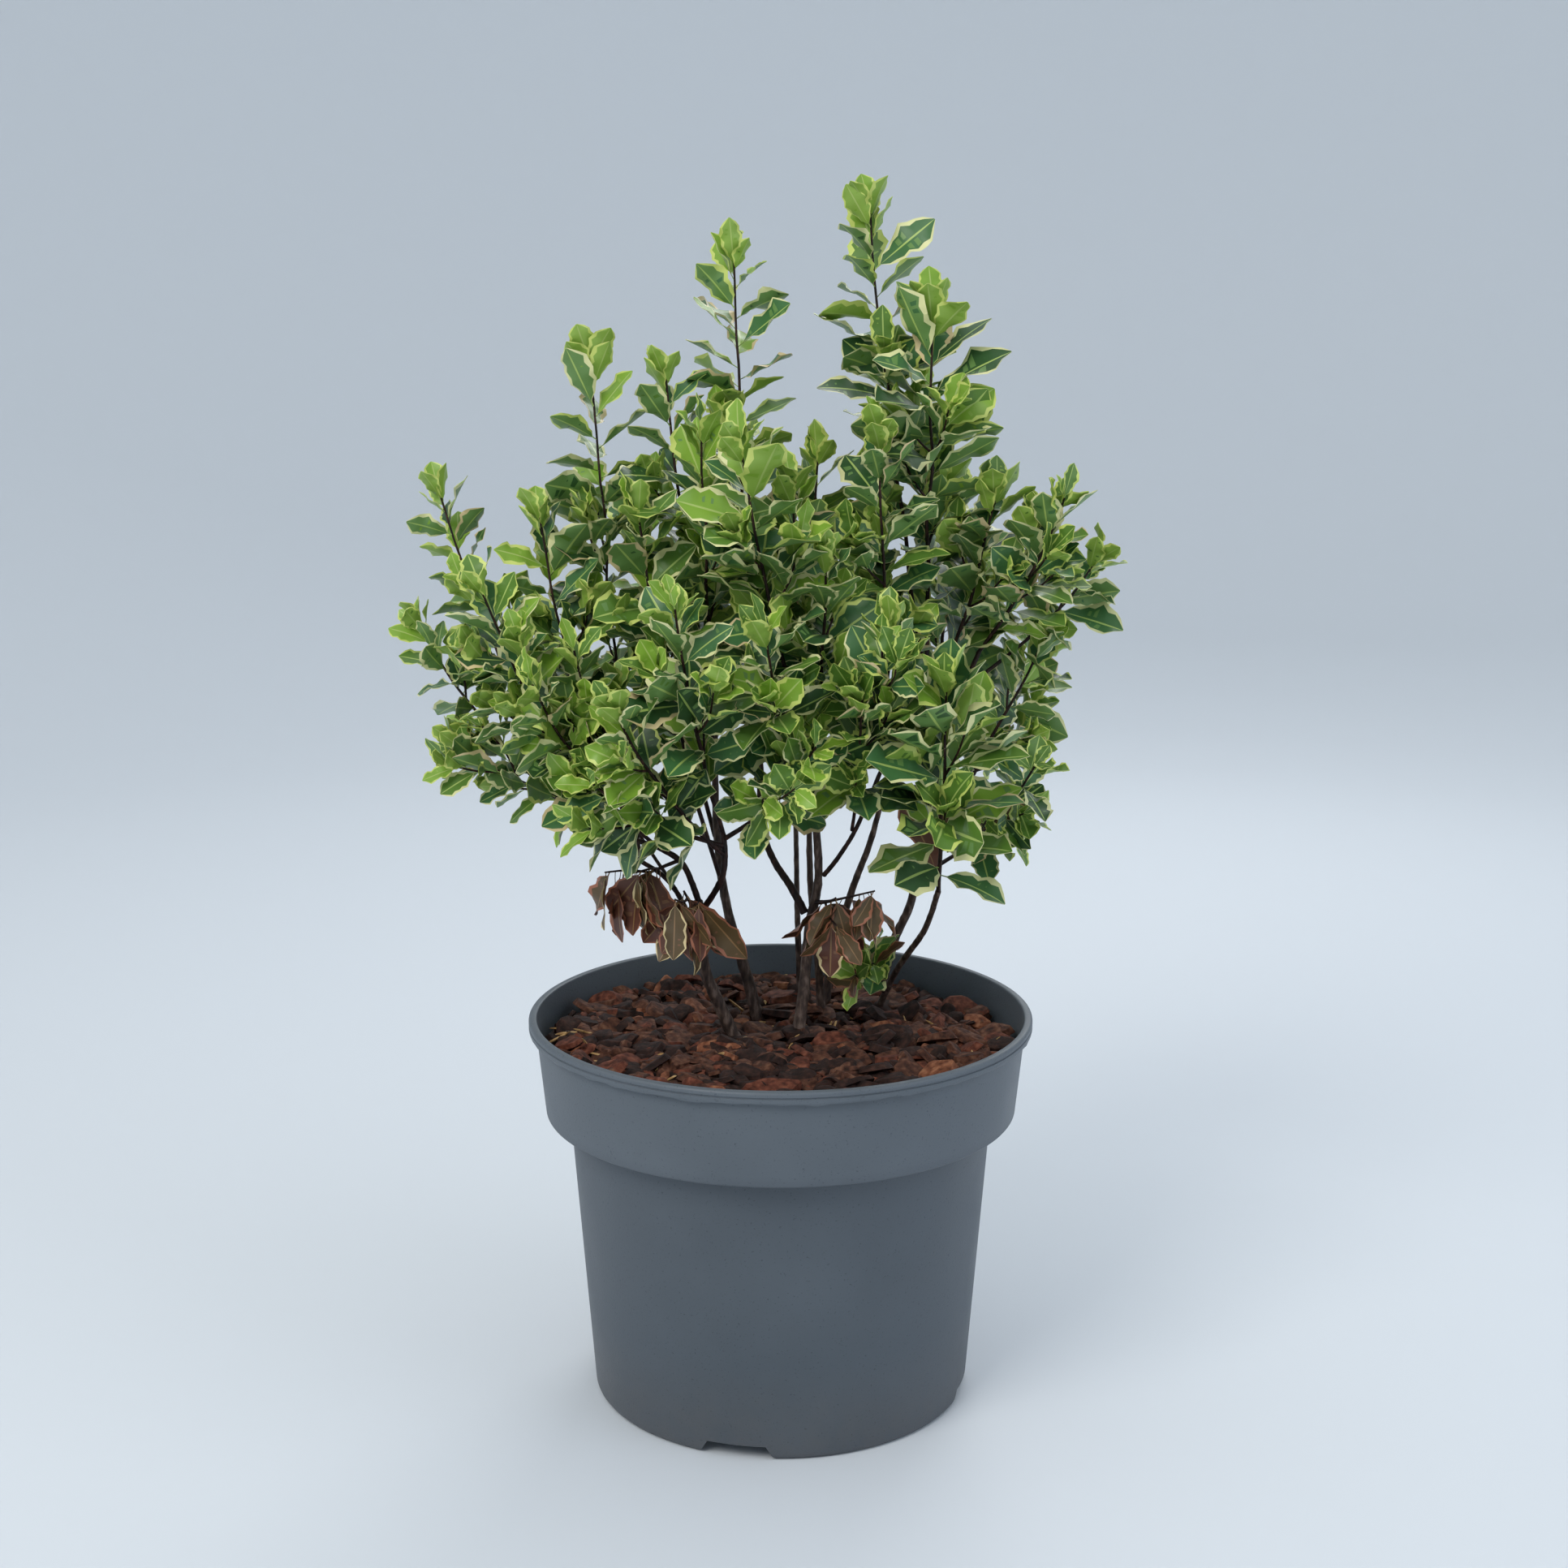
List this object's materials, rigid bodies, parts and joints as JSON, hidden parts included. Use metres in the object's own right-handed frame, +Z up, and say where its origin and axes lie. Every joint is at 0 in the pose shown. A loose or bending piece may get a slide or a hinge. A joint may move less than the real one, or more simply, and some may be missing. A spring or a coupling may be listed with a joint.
{
  "type": "potted variegated kohuhu shrub",
  "caption": "Young evergreen shrub with wavy cream-edged green leaves on thin dark stems, standing in a round grey nursery pot filled with bark mulch.",
  "frame": {"origin": "centre of the pot's flat underside, on the pot's axis", "axes": "+Z up along the pot's axis, -Y towards the front of the plant, +X to its right"},
  "size_m": [0.4141, 0.313, 0.6796],
  "materials": {
    "grey_plastic": "satin, injection moulded",
    "bark_mulch": "rough chipped bark",
    "stem_bark": "matte bark",
    "variegated_leaves": "leathery satin leaf",
    "old_leaves": "dull bronzed leaf"
  },
  "bodies": {
    "root": {"pot": "grey_plastic", "bark_mulch": "bark_mulch", "stem_left": "stem_bark", "stem_left_back": "stem_bark", "stem_middle": "stem_bark", "stem_middle_back": "stem_bark", "stem_thin": "stem_bark", "stem_fork": "stem_bark", "stem_back_right": "stem_bark", "stem_front_right": "stem_bark", "bough_left_low": "stem_bark", "bough_left_under": "stem_bark", "bough_hub": "stem_bark", "bough_middle_left": "stem_bark", "bough_diagonal": "stem_bark", "bough_right": "stem_bark", "foliage_left_low": "variegated_leaves", "foliage_left_middle": "variegated_leaves", "foliage_left_front": "variegated_leaves", "foliage_left_inner": "variegated_leaves", "foliage_left_far": "variegated_leaves", "foliage_left_high": "variegated_leaves", "foliage_left_tall": "variegated_leaves", "foliage_left_top": "variegated_leaves", "foliage_back_left_low": "variegated_leaves", "foliage_centre_left": "variegated_leaves", "foliage_centre_left_tall": "variegated_leaves", "foliage_centre_front": "variegated_leaves", "foliage_back_left": "variegated_leaves", "foliage_hub_front": "variegated_leaves", "foliage_hub_left": "variegated_leaves", "foliage_hub_right": "variegated_leaves", "foliage_front_left": "variegated_leaves", "foliage_centre": "variegated_leaves", "foliage_centre_right": "variegated_leaves", "foliage_front": "variegated_leaves", "foliage_top_left": "variegated_leaves", "foliage_back_centre": "variegated_leaves", "foliage_inner_right": "variegated_leaves", "foliage_inner_back": "variegated_leaves", "foliage_back_middle": "variegated_leaves", "foliage_right_front": "variegated_leaves", "foliage_top": "variegated_leaves", "foliage_top_right": "variegated_leaves", "foliage_right_inner": "variegated_leaves", "foliage_back_right": "variegated_leaves", "foliage_back_right_low": "variegated_leaves", "foliage_right_thin": "variegated_leaves", "foliage_right_low": "variegated_leaves", "foliage_right": "variegated_leaves", "foliage_right_far": "variegated_leaves", "foliage_front_right": "variegated_leaves", "foliage_right_middle": "variegated_leaves", "foliage_front_middle": "variegated_leaves", "old_leaves_left": "old_leaves", "old_leaves_bough": "old_leaves", "old_leaves_middle": "old_leaves", "old_leaves_foot": "variegated_leaves"}
  },
  "joints": []
}
